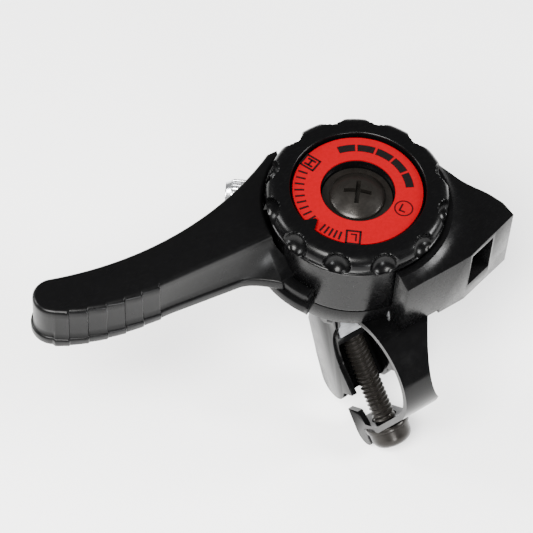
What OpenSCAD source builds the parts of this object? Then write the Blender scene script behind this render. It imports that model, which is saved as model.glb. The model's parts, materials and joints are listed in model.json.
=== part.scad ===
// Left-hand friction thumb shifter for a bicycle handlebar.
// Origin: centre of the handlebar in the clamp. +X runs along the bar towards
// the stem, +Y points forwards, +Z points up along the axis of the lever's head.

/* [Handlebar clamp] */
// Outside diameter of the handlebar
bar_d = 22.2; // [20:0.1:26]
// Radial gap between the handlebar and the clamp before it is tightened
bar_gap = 0.05; // [0.02:0.01:0.2]
// Thickness of the steel of the clamp band
band_t = 1.25; // [0.9:0.05:1.8]
// Width of the clamp band at its ear
band_w = 8.6; // [7.5:0.1:12]
// Extra width of the clamp band on its inboard side at the top of the bar
band_flare = 6.2; // [4:0.1:8]
// Distance from the middle of the ear to the band's inboard edge at its waist
band_waist = 2.5; // [1.5:0.1:4]
// Radius of the waist, seen square on
waist_r = 13; // [11:0.5:18]
// Angle round the bar, from straight ahead over the top, where the band leaves the bar
wrap_end = 204; // [200:1:208]
// Angle round the bar at which the band starts under the base
wrap_start = 58; // [50:1:75]
// Distance from the bar axis to the axis of the clamp screw
screw_off = 14; // [13.9:0.1:17]
// Diameter of the clamp screw
screw_d = 5; // [4:0.5:6]
// Diameter of the clamp screw's head
screw_head_d = 9; // [8:0.1:12]
// Height of the clamp screw's head
screw_head_h = 4; // [2.5:0.1:5]
// Thickness of the washer under the clamp screw's head
screw_washer_t = 1; // [0.5:0.1:1.6]
// Width across the flats of the square clamp nut
clamp_nut_w = 8; // [7:0.1:10]
// Height of the square clamp nut
clamp_nut_h = 4; // [2.5:0.1:5]
// Thickness of the steel of the clamp jaw
jaw_t = 1.3; // [1:0.05:2]

/* [Head] */
// Distance from the bar axis forward to the head axis
head_y = 21; // [20:0.1:24]
// Distance of the head axis inboard of the middle of the clamp band
head_x = 4.2; // [0:0.1:8]
// Height of the base rim's top face above the handlebar's surface
rim_rise = 4.4; // [4.2:0.1:7]
// Radius of the base disc
base_r = 18; // [17:0.1:20]
// Radius of the cavity for the cable drum
cavity_r = 13.9; // [13.5:0.1:15]
// Depth of the cavity below the rim
cavity_depth = 4.1; // [4:0.1:5]
// Thickness of the floor under the cavity
floor_t = 2; // [1.6:0.1:2.6]
// Outside radius of the plastic pivot post
post_r = 5.2; // [5:0.1:6]
// Wall of the steel sleeve round the post
sleeve_t = 0.75; // [0.5:0.05:1]
// Half the width of the post across its two key flats
post_flat = 4.4; // [4:0.1:4.8]
// Height of the dial's face above the base rim
dial_rise = 18; // [18:0.1:21]

/* [Knob] */
// Outside radius of the scalloped rim of the knob
knob_r = 18.9; // [18.7:0.1:21]
// Outside radius of the knob's skirt
skirt_r = 18; // [17.5:0.1:18.4]
// Wall of the knob's skirt where it grips the lever hub
skirt_t = 1.5; // [1.2:0.1:2]
// Radius of the round window over the dial
window_r = 14; // [13:0.1:14.6]
// Height of the knob's top above the dial's face
knob_proud = 1; // [0.6:0.1:2]
// Height of the scalloped rim
knob_rim_h = 5.4; // [4.5:0.1:6]
// Number of thumb dents in the rim
dents = 12; // [8:1:16]
// Radius of each thumb dent
dent_r = 2.8; // [1.5:0.1:3.2]

/* [Lever] */
// Direction of the lever at rest, measured from +X towards +Y
lever_az = 165; // [150:1:170]
// Distance from the head axis to the middle of the rounded lever tip
tip_x = 66; // [56:0.5:80]
// Radius of the rounded lever tip
tip_r = 4.25; // [3.5:0.05:6]
// Height of the lever's arm without its lip
arm_h = 8.8; // [7:0.1:10]
// Height of the lip along the bottom of the arm
lip_h = 2.5; // [1.5:0.1:3]
// How far the lip stands out from the arm
lip_out = 1.1; // [0.5:0.1:2]
// Distance from the dial's face down to the top of the arm
arm_drop = 3.5; // [2:0.1:5]
// Number of grip ribs on the thumb side
ribs = 6; // [3:1:9]
// Depth of each grip rib
rib_out = 0.6; // [0.2:0.05:1]
// Length of the ribbed part
rib_len = 23; // [15:0.5:30]

/* [Cable] */
// Direction in which the cable leaves, measured from +X towards +Y
cable_az = 142; // [134:1:148]
// Radius of the cable's path round the drum
cable_path_r = 10.8; // [10:0.1:12]
// Diameter of the inner cable
cable_d = 1.2; // [1.1:0.1:1.6]
// Diameter of the cable housing that the adjuster takes
housing_d = 5; // [4:0.1:5]
// Outside radius of the knurled barrel
barrel_r = 3.5; // [3.3:0.1:4]
// Length of the knurled barrel
barrel_len = 7.2; // [5:0.1:12]
// Diameter of the barrel's threaded stem
stem_d = 4; // [3.4:0.1:4.2]

/* [Fits] */
// Radial clearance of the parts that turn
run_gap = 0.05; // [0.03:0.01:0.1]
// Clearance between covers that pass each other
cover_gap = 0.25; // [0.2:0.05:0.4]

/* [Hidden] */
$fn = 96;

bore_r = bar_d / 2 + bar_gap;
band_r = bore_r + band_t;
rim_z = bar_d / 2 + rim_rise;
black = [0.07, 0.07, 0.075];
steel_black = [0.12, 0.12, 0.125];
steel = [0.62, 0.63, 0.65];

// Heights of the stack, from the cavity floor up
cavity_z = rim_z - cavity_depth;
floor_z = cavity_z - floor_t;
washer_t = 0.6;
drum_z = cavity_z + washer_t;
drum_top = rim_z + 0.4;
groove_w = cable_d + 0.4;
groove_z = drum_z + 0.6 + groove_w / 2;
hub_z = drum_top;
hub_disc_h = 4;
hub_boss_h = 3.5;
hub_top = hub_z + hub_disc_h + hub_boss_h;
plate_z = hub_top + washer_t;
plate_t = 1;
spring_z = plate_z + plate_t;
spring_h = 1.9;
dial_z = rim_z + dial_rise;
label_t = 0.3;
dial_sleeve_z = spring_z + spring_h;
post_top = dial_z - 5.1;
well_z = post_top + 2;
well_r = 7.6;
hub_washer_t = 0.8;
hub_head_z = well_z + hub_washer_t;
sleeve_r = post_r + run_gap + sleeve_t;
hub_screw_d = 5;
hub_nut_w = 8;
hub_nut_h = 4;
knob_top = dial_z + knob_proud;
knob_rim_z = knob_top - knob_rim_h;
skirt_z = rim_z + cover_gap;
hub_disc_r = skirt_r - skirt_t - run_gap;
arm_top = dial_z - arm_drop;
lip_top = arm_top - arm_h;
arm_z = lip_top - lip_h;

// Cable line: it leaves the drum's groove at a tangent
tangent_az = cable_az - 90;
boss_far = 19.9;
barrel_z0 = boss_far + 0.3;

// Clamp: the straight leg of the band runs at a tangent from wrap_end
leg_mid_r = bore_r + band_t / 2;
leg_y = leg_mid_r * cos(wrap_end);
leg_z = leg_mid_r * sin(wrap_end);
ear_in = screw_off - screw_d / 2 - 1.1;
leg_len = (ear_in - (leg_y - leg_z) * sin(45)) / ((cos(wrap_end - 180 - 90) - cos(wrap_end)) * sin(45));
crease_y = leg_y - leg_len * sin(wrap_end);
crease_z = leg_z + leg_len * cos(wrap_end);
ear_s = (crease_y + crease_z) * sin(45);
ear_out = screw_off + screw_d / 2 + 3.6;
head_s = ear_s - band_t / 2 - screw_washer_t;
jaw_half = band_w / 2 + 0.8;
web_s = 4.6;
nut_s = web_s + jaw_t;
tip_s = nut_s + clamp_nut_h + 1.3;
waist_az = 155;
rivet_az = 72;
rivet_r = 1.5;
rivet_head_r = 2.4;
rivet_len = 3.9;
lug_y0 = bore_r + 0.25;
lug_y1 = lug_y0 + 6.1;
lug_z0 = 1.2;
rivet_y = (lug_y0 + lug_y1) / 2;
rivet_z = lug_z0 + 3.4;

// Point on a cubic curve
function curve(a, b, c, d, t) =
    pow(1 - t, 3) * a + 3 * pow(1 - t, 2) * t * b + 3 * (1 - t) * t * t * c + pow(t, 3) * d;

module at_head() { translate([head_x, head_y, 0]) children(); }

// Z of the children along the clamp screw, their Y away from the bar
module at_screw(s) {
    rotate([-45, 0, 0]) translate([0, screw_off, s]) children();
}

// Children drawn in the plane of Y and Z are extruded along X
module across(x0, x1) {
    translate([x0, 0, 0]) rotate([90, 0, 90]) linear_extrude(x1 - x0) children();
}

// Z of the children along the cable, outwards from the drum's tangent point
module along_cable(d) {
    at_head() rotate([0, 0, tangent_az]) translate([cable_path_r, d, groove_z])
        rotate([-90, 0, 0]) children();
}

module ring(outer, inner, h) {
    difference() {
        cylinder(r = outer, h = h);
        translate([0, 0, -1]) cylinder(r = inner, h = h + 2);
    }
}

// Round bore with two flats, as the keyed post has
module keyed(r, flat, h) {
    intersection() {
        cylinder(r = r, h = h);
        translate([-flat, -r - 1, 0]) cube([2 * flat, 2 * r + 2, h]);
    }
}

// Plan of the block that carries the head on the bar, about the head axis
wall_v = -head_y - 1.5;
module block_plan() {
    polygon([[-3, -14], [-3, wall_v], [13, wall_v], [26.3, wall_v + 3.2], [26.3, -15.6],
        [25.4, -12.4], [24, -9], [22.8, -6.2], [21.8, -3.2], [20.2, 0.4], [17.6, 3.6], [12, 2]]);
}

// Section of the block's top: a collar round the knob, a valley and a plate
module block_section() {
    collar_z = knob_rim_z - 0.5;
    valley_z = collar_z - 1.7;
    valley = [for (i = [0:8]) let (t = i / 8)
        curve([20, collar_z], [21.6, valley_z + 0.2], [23.6, valley_z - 0.4], [27, valley_z + 0.5], t)];
    polygon(concat([[0, floor_z + 1.8], [0, collar_z]], valley,
        [[36, valley_z + 1.2], [36, floor_z + 1.8]]));
}

module base_body() {
    color(black) difference() {
        union() {
            at_head() translate([0, 0, floor_z + 1.8]) cylinder(r = base_r, h = rim_z - floor_z - 1.8);
            at_head() translate([0, 0, floor_z]) cylinder(r = cavity_r + 1.3, h = 3);
            at_head() difference() {
                intersection() {
                    translate([0, 0, floor_z + 1.8]) linear_extrude(24) block_plan();
                    rotate_extrude() block_section();
                }
                translate([0, 0, rim_z]) cylinder(r = skirt_r + cover_gap + 0.25, h = 30);
            }
            translate([-jaw_half + 0.1, lug_y0, lug_z0])
                cube([2 * jaw_half - 0.2, lug_y1 - lug_y0, floor_z + 2 - lug_z0]);
            adjuster_boss();
            at_head() translate([0, 0, cavity_z - 1]) cylinder(r = post_r, h = post_top - cavity_z + 1);
        }
        at_head() translate([0, 0, cavity_z]) ring(cavity_r, post_r, 10);
        post_flats();
        at_head() translate([0, 0, floor_z - 1]) cylinder(r = hub_screw_d / 2 + 0.15, h = 40);
        at_head() translate([0, 0, floor_z - 1]) cylinder(d = (hub_nut_w + 0.1) / cos(30), h = hub_nut_h + 1, $fn = 6);
        rotate([0, 90, 0]) translate([0, 0, -60]) cylinder(r = bore_r + 0.1, h = 120);
        rotate([0, 90, 0]) translate([0, 0, -band_w / 2 - 0.2])
            cylinder(r = band_r + 0.1, h = band_w + band_flare + 0.4);
        at_rivets() translate([0, 0, bore_r]) cylinder(r = rivet_r + run_gap, h = rivet_len);
        translate([-20, rivet_y, rivet_z]) rotate([0, 90, 0]) cylinder(r = rivet_r + run_gap, h = 40);
        along_cable(boss_far - 4.9) cylinder(r = stem_d / 2 + run_gap, h = 6);
        along_cable(0) cylinder(r = cable_d / 2 + 0.4, h = boss_far);
        block_pocket();
    }
}

module post_flats() {
    at_head() for (side = [-1, 1])
        translate([side * (post_flat + 5), 0, hub_top + 15.2]) cube([10, 20, 30], center = true);
}

module adjuster_boss() {
    intersection() {
        along_cable(11) translate([-3.7, -3.6, 0]) cube([7.4, 7.2, boss_far - 11]);
        union() {
            at_head() translate([0, 0, floor_z]) cylinder(r = 30, h = rim_z - floor_z);
            at_head() translate([0, 0, floor_z]) ring(30, skirt_r + 0.5, rim_z + 0.5 - floor_z);
        }
    }
}

// Moulding pocket in the block's thumb-side wall
module block_pocket() {
    at_head() translate([13.9, wall_v - 1, rim_z]) rotate([0, 0, 13]) cube([6.8, 5, 10.6]);
}

// Z of the children points away from the bar axis through the band and the base
module at_rivets() {
    for (x = [2.2, 7.4]) rotate([rivet_az - 90, 0, 0]) translate([x, 0, 0]) children();
}

// Sector between two angles, measured from +Y over the top
module sector(a0, a1) {
    reach = 3 * bore_r;
    polygon(concat([[0, 0]], [for (i = [0:4]) let (a = a0 + (a1 - a0) * i / 4) reach * [cos(a), sin(a)]]));
}

module clamp_band() {
    x0 = -band_w / 2;
    color(steel_black) difference() {
        union() {
            intersection() {
                rotate([0, 90, 0]) translate([0, 0, x0]) ring(band_r, bore_r, band_w + band_flare);
                union() {
                    across(x0 - 1, -x0 + band_flare) sector(wrap_start, waist_az);
                    across(x0 - 1, -x0) sector(waist_az - 20, wrap_end);
                }
            }
            translate([x0, leg_y, leg_z]) rotate([wrap_end - 180, 0, 0])
                translate([0, 0.02 - band_t / 2, -leg_len]) cube([band_w, band_t - 0.04, leg_len + 0.2]);
            translate([x0, crease_y, crease_z]) rotate([0, 90, 0]) cylinder(d = band_t + 0.06, h = band_w);
            at_screw(ear_s) translate([x0, ear_in - screw_off, -band_t / 2])
                cube([band_w, ear_out - ear_in, band_t]);
            ear_tab();
        }
        rotate([waist_az - 90, 0, 0]) translate([band_waist + waist_r, 0, 2]) cylinder(r = waist_r, h = 20);
        at_screw(ear_s - 5) cylinder(r = screw_d / 2 + 0.3, h = 10);
        at_screw(head_s - screw_head_h - 2) cylinder(r = screw_head_d / 2 + 0.6, h = screw_head_h + 2 + screw_washer_t);
        at_rivets() translate([0, 0, bore_r - 3]) cylinder(r = rivet_r + run_gap, h = 8);
        at_rivets() translate([0, 0, bore_r - 3]) cylinder(r = rivet_head_r + run_gap, h = 3.05);
        at_rivets() translate([0, 0, bore_r + 0.05])
            cylinder(r1 = rivet_head_r + run_gap, r2 = rivet_r + run_gap, h = 0.8);
    }
}

// Tab folded up from the ear's outboard edge beside the screw
module ear_tab() {
    at_screw(ear_s) translate([-band_w / 2, ear_out - screw_off - 5.2, -band_t / 2])
        rotate([90, 0, 90]) linear_extrude(band_t) {
            translate([3.1, -1.2]) circle(r = 3.06);
            polygon([[0, 0], [0, -1.2], [6.2, -1.2], [6.2, 4.3], [1.6, 4.3]]);
        }
}

// Outline of the jaw's side cheeks, in the plane of Y and Z
module jaw_outline() {
    foot_y = 9.6;
    foot_z = -16.4;
    foot_r = 4.2;
    hull() {
        translate([foot_y, foot_z]) circle(r = foot_r, $fn = 40);
        translate([12.6, -11]) circle(r = 4, $fn = 40);
    }
    polygon([[lug_y0, 7.4], [lug_y1, 7.4], [lug_y1 + 2, 3], [20, -4], [15.8, -13.4],
        [foot_y, foot_z], [foot_y - foot_r + 0.1, foot_z + 1], [2.6, -12.6], [8, -8]]);
}

// Flange that joins the jaw's cheeks behind the screw
flange_len = 13;

module clamp_jaw() {
    color(steel_black) difference() {
        union() {
            for (side = [-1, 1]) scale([side, 1, 1]) across(jaw_half, jaw_half + jaw_t) jaw_outline();
            at_screw(web_s) translate([-jaw_half - 0.5, -3.8, 0]) cube([2 * jaw_half + 1, 9, jaw_t]);
            at_screw(web_s - flange_len) translate([-jaw_half - 0.5, 5.2 - jaw_t, 0])
                cube([2 * jaw_half + 1, jaw_t, flange_len + jaw_t]);
        }
        rotate([0, 90, 0]) translate([0, 0, -30]) cylinder(r = bore_r, h = 60);
        at_screw(web_s - 1) cylinder(r = screw_d / 2 + 0.15, h = jaw_t + 2);
        translate([-20, rivet_y, rivet_z]) rotate([0, 90, 0]) cylinder(r = rivet_r + run_gap, h = 40);
    }
}

module clamp_nut() {
    color(steel) at_screw(nut_s) difference() {
        translate([-clamp_nut_w / 2, -clamp_nut_w / 2, 0]) cube([clamp_nut_w, clamp_nut_w, clamp_nut_h]);
        translate([0, 0, -1]) cylinder(r = screw_d / 2 + run_gap, h = clamp_nut_h + 2);
    }
}

// Cross recess of a screw head whose top is at z = 0
module cross(span, width, depth) {
    for (a = [0, 90]) rotate([0, 0, a])
        translate([-span / 2, -width / 2, -depth]) cube([span, width, depth + 1]);
}

module clamp_screw() {
    color(steel_black) at_screw(head_s) difference() {
        union() {
            cylinder(r = screw_d / 2, h = tip_s - head_s - 0.8);
            translate([0, 0, tip_s - head_s - 0.8]) cylinder(r1 = screw_d / 2, r2 = screw_d / 2 - 0.8, h = 0.8);
            translate([0, 0, -screw_head_h]) rotate_extrude() polygon(concat([[0, 0]],
                [for (i = [0:8]) let (a = 90 * i / 8)
                    [screw_head_d / 2 - 1.6 + 1.6 * sin(a), 1.6 - 1.6 * cos(a)]],
                [[screw_head_d / 2, screw_head_h], [0, screw_head_h]]));
        }
        translate([0, 0, -screw_head_h]) mirror([0, 0, 1]) cross(5.2, 1.1, 1.9);
    }
}

module screw_washer() {
    color(steel_black) at_screw(head_s) ring(screw_head_d / 2 + 0.4, screw_d / 2 + 0.15, screw_washer_t);
}

module band_rivets() {
    color(steel) at_rivets() translate([0, 0, bore_r + 0.05]) {
        cylinder(r1 = rivet_head_r, r2 = rivet_r, h = 0.8);
        cylinder(r = rivet_r, h = rivet_len - 0.1);
    }
}

module jaw_rivet() {
    reach = jaw_half + jaw_t;
    color(steel) translate([0, rivet_y, rivet_z]) rotate([0, 90, 0]) {
        translate([0, 0, -reach]) cylinder(r = rivet_r, h = 2 * reach);
        for (side = [-1, 1]) scale([1, 1, side]) translate([0, 0, reach]) cylinder(r1 = 2.6, r2 = 1.8, h = 0.9);
    }
}

module hub_nut() {
    color(steel) at_head() translate([0, 0, floor_z]) difference() {
        cylinder(d = hub_nut_w / cos(30), h = hub_nut_h, $fn = 6);
        translate([0, 0, -1]) cylinder(r = hub_screw_d / 2 + run_gap, h = hub_nut_h + 2);
    }
}

module hub_screw() {
    head_r = 5.8;
    head_h = 2.3;
    color(steel_black) at_head() difference() {
        union() {
            translate([0, 0, floor_z + 0.3]) cylinder(r = hub_screw_d / 2, h = hub_head_z - floor_z);
            translate([0, 0, hub_head_z]) rotate_extrude() polygon(concat([[0, 0], [head_r, 0]],
                [for (i = [0:8]) let (t = i / 8) [head_r * (1 - t), 0.6 + (head_h - 0.6) * sin(90 * t)]]));
        }
        translate([0, 0, hub_head_z + head_h]) cross(5.6, 1.2, 1.7);
    }
}

module hub_washer() {
    color(steel_black) at_head() translate([0, 0, well_z]) ring(well_r - 0.3, hub_screw_d / 2 + 0.15, hub_washer_t);
}

module pivot_sleeve() {
    color(steel) at_head() translate([0, 0, cavity_z]) ring(sleeve_r, post_r + run_gap, hub_top - cavity_z);
}

module lower_washer() {
    color("ivory") at_head() translate([0, 0, cavity_z]) ring(cavity_r - 0.7, sleeve_r + run_gap, washer_t);
}

module cable_drum() {
    groove_floor = cable_path_r - cable_d / 2;
    drum_r = cavity_r - 0.4;
    color(steel) at_head() difference() {
        translate([0, 0, drum_z]) cylinder(r = drum_r, h = drum_top - drum_z);
        translate([0, 0, groove_z - groove_w / 2]) ring(drum_r + 1, groove_floor, groove_w);
        translate([0, 0, drum_z - 1]) cylinder(r = sleeve_r + run_gap, h = 10);
        rotate([0, 0, tangent_az + 170]) translate([cable_path_r - 1.2, 0, drum_z - 1]) cylinder(r = 1.9, h = 10);
        drum_dogs(0.1);
    }
}

// Two dogs under the lever hub that turn the drum
module drum_dogs(gap) {
    for (side = [0, 180]) rotate([0, 0, lever_az + 90 + side])
        translate([7.6 - gap, -2 - gap, drum_top - 1.2 - gap]) cube([3 + 2 * gap, 4 + 2 * gap, 2 + gap]);
}

// Edges of the arm's outline, from the root to the tip
arm_root = 19.4;
rib_x = tip_x - rib_len + 2;
function rider_y(x) = 3.1 + (x - arm_root) * 0.17;
function rider_edge(out) = concat(
    [[10, 3 + out], [arm_root, rider_y(arm_root) + out], [rib_x, rider_y(rib_x) + out]],
    [for (i = [1:4]) curve([rib_x, rider_y(rib_x) + out], [rib_x + 8, rider_y(rib_x + 8) + 0.6 + out],
        [tip_x - 8, tip_r * 2 + 1.2 + out], [tip_x + 1, tip_r * 1.75 + out], i / 4)]);
function forward_edge(out) = [for (i = [8:-1:0])
    curve([13.2, -17.2 - out], [24, -8 - out], [42, 1.5 - out], [tip_x, -0.9 - out], i / 8)];
tip_y = tip_r - 0.9;

module arm_plan(out) {
    polygon(concat(rider_edge(out), [[tip_x, tip_y]], forward_edge(0), [[8, -14]]));
    translate([tip_x, tip_y]) circle(r = tip_r + out / 2);
}

// Grip ribs as a row of small ramps, each ending in a step
module rib_plan() {
    pitch = rib_len / ribs;
    for (i = [0:ribs - 1]) let (x0 = rib_x + i * pitch, x1 = x0 + pitch,
        bulge0 = 1.3 * sin(180 * i / ribs), bulge1 = 1.3 * sin(180 * (i + 1) / ribs))
        if (x1 < tip_x + 1)
            polygon([[x0, 0], [x0, rider_y(x0) * (1 - 0.02 * i) + bulge0 + rib_out],
                [x1, rider_y(x1) * (1 - 0.02 * (i + 1)) + bulge1], [x1, 0]]);
}

// The neck passes over the adjuster when the lever swings
neck_z = max(hub_z + 0.2, groove_z + barrel_r + 0.25);

module lever() {
    color(black) at_head() difference() {
        union() {
            translate([0, 0, hub_z]) cylinder(r = hub_disc_r, h = hub_disc_h);
            translate([0, 0, hub_z]) cylinder(r = 11.5, h = hub_top - hub_z);
            drum_dogs(0);
            rotate([0, 0, lever_az]) {
                translate([10, -9, neck_z]) cube([11, 13, hub_z + hub_disc_h + 2 - neck_z]);
                difference() {
                    union() {
                        translate([0, 0, lip_top]) linear_extrude(arm_h) {
                            arm_plan(0);
                            rib_plan();
                        }
                        translate([0, 0, arm_z]) linear_extrude(lip_h) {
                            arm_plan(lip_out);
                            polygon([[10, 2], [12, 17], [17.6, 14.5], [21, 11], [26, 8.4], [34, 6.6]]);
                        }
                    }
                    translate([0, 0, arm_z - 1]) cylinder(r = knob_r + 0.3, h = 30);
                }
                heel();
            }
        }
        translate([0, 0, hub_z - 5]) cylinder(r = sleeve_r + run_gap, h = 30);
    }
}

// Heel of the lever: a stepped segment that trails round the skirt
module heel() {
    heel_z = rim_z + 0.8;
    difference() {
        intersection() {
            translate([0, 0, heel_z]) cylinder(r = skirt_r + 3.9, h = lip_top - heel_z);
            translate([0, 0, heel_z]) linear_extrude(10) polygon([[0, 0], [30, 2], [30, 12], [26, 24], [21.4, 21.4]]);
        }
        translate([0, 0, heel_z - 1]) cylinder(r = skirt_r + cover_gap, h = 20);
        translate([0, 0, arm_z - 0.4]) ring(30, skirt_r + 2.8, 20);
    }
}

// Half section of the knob: rounded rim on a straight skirt
module knob_section() {
    shoulder = 2.4;
    top = [for (i = [0:6]) let (a = 90 * i / 6)
        [knob_r - shoulder + shoulder * sin(a), knob_top - shoulder + shoulder * cos(a)]];
    polygon(concat([[window_r, dial_z - 1.6], [window_r, knob_top]], top,
        [[knob_r, knob_rim_z + 0.9], [skirt_r, knob_rim_z], [skirt_r, skirt_z], [hub_disc_r + run_gap, skirt_z],
        [hub_disc_r + run_gap, hub_z + hub_disc_h], [hub_disc_r - 0.7, hub_z + hub_disc_h],
        [hub_disc_r - 0.7, dial_z - 1.6]]));
}

module knob_cap() {
    color(black) at_head() {
        difference() {
            rotate_extrude() knob_section();
            for (i = [0:dents - 1]) rotate([0, 0, lever_az + 26.5 + i * 360 / dents])
                translate([knob_r + 0.4, 0, knob_top - 2.5]) sphere(r = dent_r, $fn = 48);
            rotate([0, 0, lever_az]) translate([12, -9.2, skirt_z - 1]) cube([10, 13.4, hub_disc_h + 3.4]);
        }
        pointer();
    }
}

// Tooth of the window that points at the dial
module pointer() {
    rotate([0, 0, lever_az + 24]) translate([0, 0, dial_z + 0.2]) linear_extrude(knob_proud - 0.2)
        polygon([[window_r + 1, -1.6], [window_r - 2.1, 0], [window_r + 1, 1.6]]);
}

module upper_washer() {
    color("ivory") at_head() translate([0, 0, hub_top]) ring(10.8, post_r + run_gap, washer_t);
}

module pressure_plate() {
    color(steel) at_head() translate([0, 0, plate_z]) difference() {
        cylinder(r = 10.5, h = plate_t);
        translate([0, 0, -1]) keyed(post_r + run_gap, post_flat + run_gap, plate_t + 2);
    }
}

// Conical spring washer between the pressure plate and the dial's sleeve
module cone_spring() {
    inner = post_r + 0.3;
    wall = 0.7;
    color(steel) at_head() translate([0, 0, spring_z]) rotate_extrude()
        polygon([[inner, spring_h - wall], [10, 0], [10, wall], [inner + 0.6, spring_h], [inner, spring_h]]);
}

module dial_plate() {
    face_r = window_r - 0.3;
    color(black) at_head() difference() {
        union() {
            translate([0, 0, dial_z - label_t - 2]) cylinder(r = face_r, h = 2);
            translate([0, 0, dial_sleeve_z]) cylinder(r = well_r + 1.2, h = dial_z - label_t - dial_sleeve_z);
        }
        translate([0, 0, well_z]) cylinder(r = well_r, h = 10);
        translate([0, 0, well_z - 3]) cylinder(r = hub_screw_d / 2 + 0.15, h = 10);
        translate([0, 0, dial_sleeve_z - 1])
            keyed(post_r + run_gap, post_flat + run_gap, post_top + 0.5 - dial_sleeve_z + 1);
    }
}

module dial_label() {
    color("red") at_head() translate([0, 0, dial_z - label_t]) ring(window_r - 0.6, well_r + 0.1, label_t);
}

// Knurled barrel with a threaded stem, drilled for the cable and its housing
module barrel_adjuster() {
    color(steel) along_cable(barrel_z0) difference() {
        union() {
            translate([0, 0, 0]) cylinder(r = barrel_r, h = barrel_len - 1);
            translate([0, 0, barrel_len - 1]) cylinder(r1 = barrel_r, r2 = barrel_r - 1, h = 1);
            translate([0, 0, -4.8]) cylinder(r = stem_d / 2, h = 5);
        }
        translate([0, 0, -6]) cylinder(r = cable_d / 2 + 0.3, h = 30);
        translate([0, 0, barrel_len - 5]) cylinder(r = housing_d / 2 + 0.1, h = 6);
    }
}

base_body();
clamp_band();
clamp_jaw();
clamp_nut();
clamp_screw();
screw_washer();
band_rivets();
jaw_rivet();
hub_nut();
hub_screw();
hub_washer();
pivot_sleeve();
lower_washer();
cable_drum();
lever();
knob_cap();
upper_washer();
pressure_plate();
cone_spring();
dial_plate();
dial_label();
barrel_adjuster();
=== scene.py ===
import bpy
import bmesh
import json
import math
from mathutils import Matrix, Vector


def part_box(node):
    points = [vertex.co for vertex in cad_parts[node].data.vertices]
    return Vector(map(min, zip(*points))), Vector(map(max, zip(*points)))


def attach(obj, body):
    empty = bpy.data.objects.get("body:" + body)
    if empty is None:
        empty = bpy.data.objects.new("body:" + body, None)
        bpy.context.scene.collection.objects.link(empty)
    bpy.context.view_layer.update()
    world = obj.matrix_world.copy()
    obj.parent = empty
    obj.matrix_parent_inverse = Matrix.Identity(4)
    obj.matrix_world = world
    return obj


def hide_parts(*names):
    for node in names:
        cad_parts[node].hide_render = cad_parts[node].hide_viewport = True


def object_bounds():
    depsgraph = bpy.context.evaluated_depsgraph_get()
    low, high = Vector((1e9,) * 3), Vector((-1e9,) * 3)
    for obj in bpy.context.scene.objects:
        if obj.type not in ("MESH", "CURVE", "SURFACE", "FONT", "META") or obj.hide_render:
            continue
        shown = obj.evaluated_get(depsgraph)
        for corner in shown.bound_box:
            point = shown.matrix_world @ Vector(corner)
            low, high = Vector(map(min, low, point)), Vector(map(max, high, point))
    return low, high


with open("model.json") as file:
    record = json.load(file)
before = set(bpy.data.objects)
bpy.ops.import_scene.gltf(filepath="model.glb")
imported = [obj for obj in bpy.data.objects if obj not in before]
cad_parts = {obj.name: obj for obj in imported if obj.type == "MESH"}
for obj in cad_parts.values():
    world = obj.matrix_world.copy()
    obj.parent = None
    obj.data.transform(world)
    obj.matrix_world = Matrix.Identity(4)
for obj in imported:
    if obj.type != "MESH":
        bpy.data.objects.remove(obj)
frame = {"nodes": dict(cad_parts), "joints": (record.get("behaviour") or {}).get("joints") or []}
cadLow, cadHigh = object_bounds()
nodes = frame["nodes"]
mm = 0.001

# places that come from the frame, in mm
swing = [j for j in frame["joints"] if j["name"] == "lever_swing"][0]
headX, headY = swing["pos_m"][0] / mm, swing["pos_m"][1] / mm
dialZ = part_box("dial_label")[1].z / mm
leverAz = 165.0  # from +X to the arm at rest, in degrees
print("frame loaded, head axis at", round(headX, 2), round(headY, 2), "dial at", round(dialZ, 2))


viewer = {
    "right": (0.8252, -0.5635, 0.0422),
    "up": (0.4481, 0.6976, 0.559),
    "offset": (-211.8, -243.6, 445.9),  # from the middle of the dial, in mm
    "lens": 181.7,
}


def makeCamera():
    right = Vector(viewer["right"]).normalized()
    up = Vector(viewer["up"])
    up = (up - right * up.dot(right)).normalized()
    back = right.cross(up)
    data = bpy.data.cameras.new("camera")
    data.lens = viewer["lens"]
    data.sensor_width = 36.0
    data.clip_start = 0.01
    data.clip_end = 50.0
    camera = bpy.data.objects.new("camera", data)
    bpy.context.scene.collection.objects.link(camera)
    place = Vector((headX, headY, dialZ)) + Vector(viewer["offset"])
    turn = Matrix((right, up, back)).transposed().to_4x4()
    camera.matrix_world = Matrix.Translation(place * mm) @ turn
    bpy.context.scene.camera = camera


studio = {
    "floorColor": (0.93, 0.93, 0.93, 1.0),
    "skyStrength": 0.36,
    "floorDrop": 0.2,  # mm below the lowest point
    "floorHalf": 4.0,  # metres
    "aim": (0, 0.01, 0.01),
    "lights": [
        # name, position in metres, size, power, colour
        ("keyLight", (-0.42, -0.20, 0.66), 0.42, 26.0, (1.0, 0.99, 0.97)),
        ("rightLight", (0.50, -0.35, 0.36), 0.24, 9.0, (1.0, 1.0, 1.0)),
        ("frontLight", (-0.15, -0.60, 0.12), 0.16, 3.5, (0.98, 0.99, 1.0)),
        ("backLight", (-0.50, 0.50, 0.42), 0.30, 9.0, (1.0, 1.0, 1.0)),
    ],
}


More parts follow.
